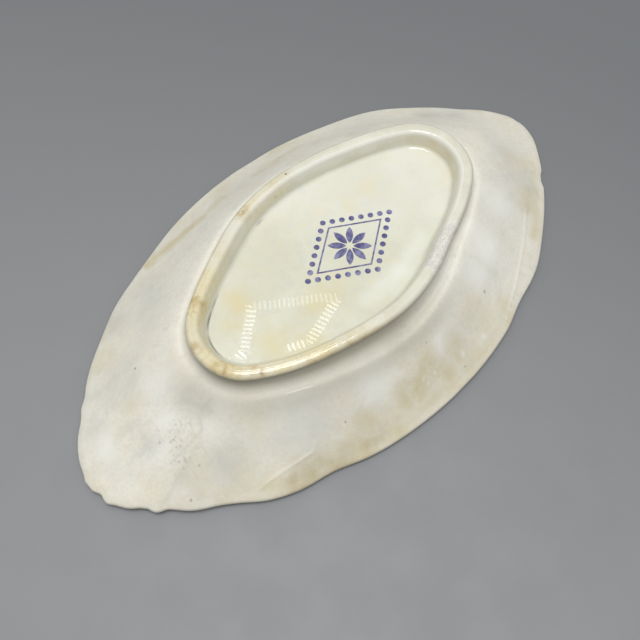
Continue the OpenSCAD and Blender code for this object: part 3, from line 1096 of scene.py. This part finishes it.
def build_shell(material):
    """Clay body: floor, wall and lip, with the coats over it."""
    back = shrunk(seat(), np.linspace(0.1, 0.9, 4), SEAT_Z)
    back += [wall_row(s) for s in np.linspace(0, LIP_SHARE, SHELL_ROWS)]
    lip = [lip_row(a) for a in np.linspace(LIP_SPAN[0], -90, 18)]
    face = [face_row(s) for s in np.linspace(1, 0, SHELL_ROWS)]
    under = SEAT_Z - CLAY_T
    face += shrunk(seat(), np.linspace(0.9, 0.1, 4), under)
    rows = back + lip + face
    return lofted("shell_body", middle(SEAT_Z), rows, middle(under), material, "clay", "dish_shell")


def build_face(material):
    """Glaze on the serving face, from the floor out to the inside of the lip."""
    shares = np.linspace(FACE_SHARE, 0, 60)
    hidden = np.linspace(0, FACE_SHARE, 30)
    top, bottom = SEAT_Z - CLAY_T + SINK, SEAT_Z - CLAY_T - GLAZE_T
    centre = shrunk(seat(), np.linspace(0.05, 0.95, 12), top)
    rows = centre + [face_row(s, -SINK) for s in hidden]
    rows += [face_row(s, GLAZE_T * smooth(s, FACE_SHARE, FACE_THINS)) for s in shares]
    rows += shrunk(seat(), np.linspace(0.95, 0.05, 12), bottom)
    return lofted("face_glaze_coat", middle(top), rows, middle(bottom), material, "face_glaze", "face_glaze")


# Stage

# Floor: grey that darkens along a way on the plan, between two distances and with some wandering; the
# darkening is painted shade
FLOOR_SIDE = 4000.0
FLOOR_NEAR = srgb(138, 139, 141)
FLOOR_FAR = srgb(112, 114, 116)
FLOOR_WAY = (0.92, 0.38, 0.0)
FLOOR_SPAN = (-200, 220)
FLOOR_WANDER = 20.0

# Sky: light from above, and the plain backdrop that the camera sees
SKY = (0.98, 0.99, 1.0, 1.0)
SKY_LOW = 0.03
SKY_HIGH = 1.05
SKY_POWER = 1.5
BACKDROP = srgb(164, 166, 168)

# Camera
CAMERA_AT = (-94.99, -88.69, 227.1)
CAMERA_AIM = (-16.78, -9.62, 0.0)
CAMERA_LENS = 36.0
SENSOR_W = 36.0

# Lamps: a soft panel, and bars as (start, end, level)
PANEL_AT = (-40.0, -45.0, 900.0)
PANEL_SIDE = 380.0
PANEL_WATTS = 4.25
LAMP_BARS = [
    ((177, 355), (296, 262), 0.45), ((296, 262), (198, 236), 1.0), ((198, 236), (161, 253), 1.2),
    ((177, 355), (113, 300), 1.0), ((113, 300), (90, 298), 1.3),
]
LAMP_BAR_Z = 800.0
LAMP_BAR_W = 17.0
LAMP_WATTS_PER_MM = 0.00018
LAMP_CHIPS_PER_MM = 0.12
LAMP_CHIP_PEAK = 2.6
LAMP_COLOUR = (0.93, 0.97, 1.0)


def aim(thing, at, target):
    """Put a lamp or camera at a place, facing another."""
    thing.location = Vector(at) * MM
    thing.rotation_euler = (Vector(target) - Vector(at)).to_track_quat("-Z", "Y").to_euler()


def floor_material():
    """Dull grey table, with painted shade that darkens it towards the far side."""
    shader = Shader("floor")
    wander = shader.times(shader.noise(60, 3), FLOOR_WANDER)
    depth = shader.math("ADD", shader.dot(shader.place, Vector(FLOOR_WAY) / MM), wander)
    # Painted shade: the table's grey darkens towards the far side
    colour = shader.mix(shader.ramp(depth, *FLOOR_SPAN), FLOOR_NEAR, FLOOR_FAR)
    return shader.finish(colour, shader.dulled(*FLOOR_DULL), FLOOR_WAVES)


def build_floor():
    """Level table under the rim."""
    half = FLOOR_SIDE / 2 * MM
    corners = [(-half, -half, 0), (half, -half, 0), (half, half, 0), (-half, half, 0)]
    mesh = bpy.data.meshes.new("floor")
    mesh.from_pydata(corners, [], [(0, 1, 2, 3)])
    mesh.materials.append(floor_material())
    place_object("floor", mesh)


def build_sky():
    """Soft light that is brightest overhead and fades to the horizon, seen as a plain grey backdrop."""
    world = bpy.data.worlds.new("sky")
    bpy.context.scene.world = world
    world.use_nodes = True
    tree = Nodes(world.node_tree)
    up = tree.upward(tree.output("ShaderNodeTexCoord", "Generated"))
    steep = tree.math("POWER", tree.most(up, 0.0), SKY_POWER)
    light = tree.nodes["Background"]
    tree.feed(light.inputs["Color"], SKY)
    tree.feed(light.inputs["Strength"], tree.ramp(steep, 0.0, 1.0, SKY_LOW, SKY_HIGH, "LINEAR"))
    backdrop = tree.nodes.new("ShaderNodeBackground")
    tree.feed(backdrop.inputs["Color"], BACKDROP)
    seen = tree.nodes.new("ShaderNodeMixShader")
    tree.feed(seen.inputs[0], tree.output("ShaderNodeLightPath", "Is Camera Ray"))
    tree.feed(seen.inputs[1], light.outputs[0])
    tree.feed(seen.inputs[2], backdrop.outputs[0])
    tree.feed(tree.nodes["World Output"].inputs["Surface"], seen.outputs[0])


def add_lamp(name, at, target, size, watts):
    """Flat lamp of the given length and width."""
    data = bpy.data.lights.new(name, "AREA")
    data.shape = "RECTANGLE"
    data.size, data.size_y = (side * MM for side in size)
    data.energy = watts
    lamp = place_object(name, data)
    aim(lamp, at, target)
    return lamp


def light_chips(data, run):
    """Row of bright chips along a lamp bar, which runs the given way."""
    data.use_nodes = True
    tree = Nodes(data.node_tree)
    place = tree.output("ShaderNodeNewGeometry", "Position")
    way = 2 * np.pi * LAMP_CHIPS_PER_MM / MM * run.normalized().to_3d()
    wave = tree.math("SINE", tree.dot(place, way))
    level = tree.ramp(wave, 0.0, 1.0, 0.0, LAMP_CHIP_PEAK, "LINEAR")
    tree.feed(tree.nodes["Emission"].inputs["Strength"], level)


def build_lamps():
    """A soft panel overhead, and a frame of lamp bars on the far side that the well mirrors."""
    add_lamp("panel", PANEL_AT, (0, 0, 0), (PANEL_SIDE, PANEL_SIDE), PANEL_WATTS)
    for i, (start, end, level) in enumerate(LAMP_BARS):
        run = Vector(end) - Vector(start)
        at = (Vector(start) + Vector(end)) / 2
        watts = run.length * LAMP_WATTS_PER_MM * level
        bar = add_lamp(f"lamp_bar_{i}", (*at, LAMP_BAR_Z), (*at, 0), (run.length, LAMP_BAR_W), watts)
        bar.rotation_euler = (0, 0, np.arctan2(run.y, run.x))
        bar.data.color = LAMP_COLOUR
        light_chips(bar.data, run)


def build_camera():
    """Camera fitted to the photograph, which looks down from between one end and one side."""
    data = bpy.data.cameras.new("camera")
    data.sensor_width = SENSOR_W
    data.lens = CAMERA_LENS
    camera = place_object("camera", data)
    aim(camera, CAMERA_AT, CAMERA_AIM)
    bpy.context.scene.camera = camera


# Object and stage

build_shell(clay_material())
build_ring(tread_material())
build_slip(slip_material())
build_back(back_material())
build_well(well_material())
build_face(face_material())
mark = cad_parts["printed_mark"]
mark.data.materials.clear()
mark.data.materials.append(ink_material())
build_floor()
build_sky()
build_lamps()
build_camera()
bpy.context.scene.view_settings.view_transform = "Standard"

bpy.context.view_layer.update()
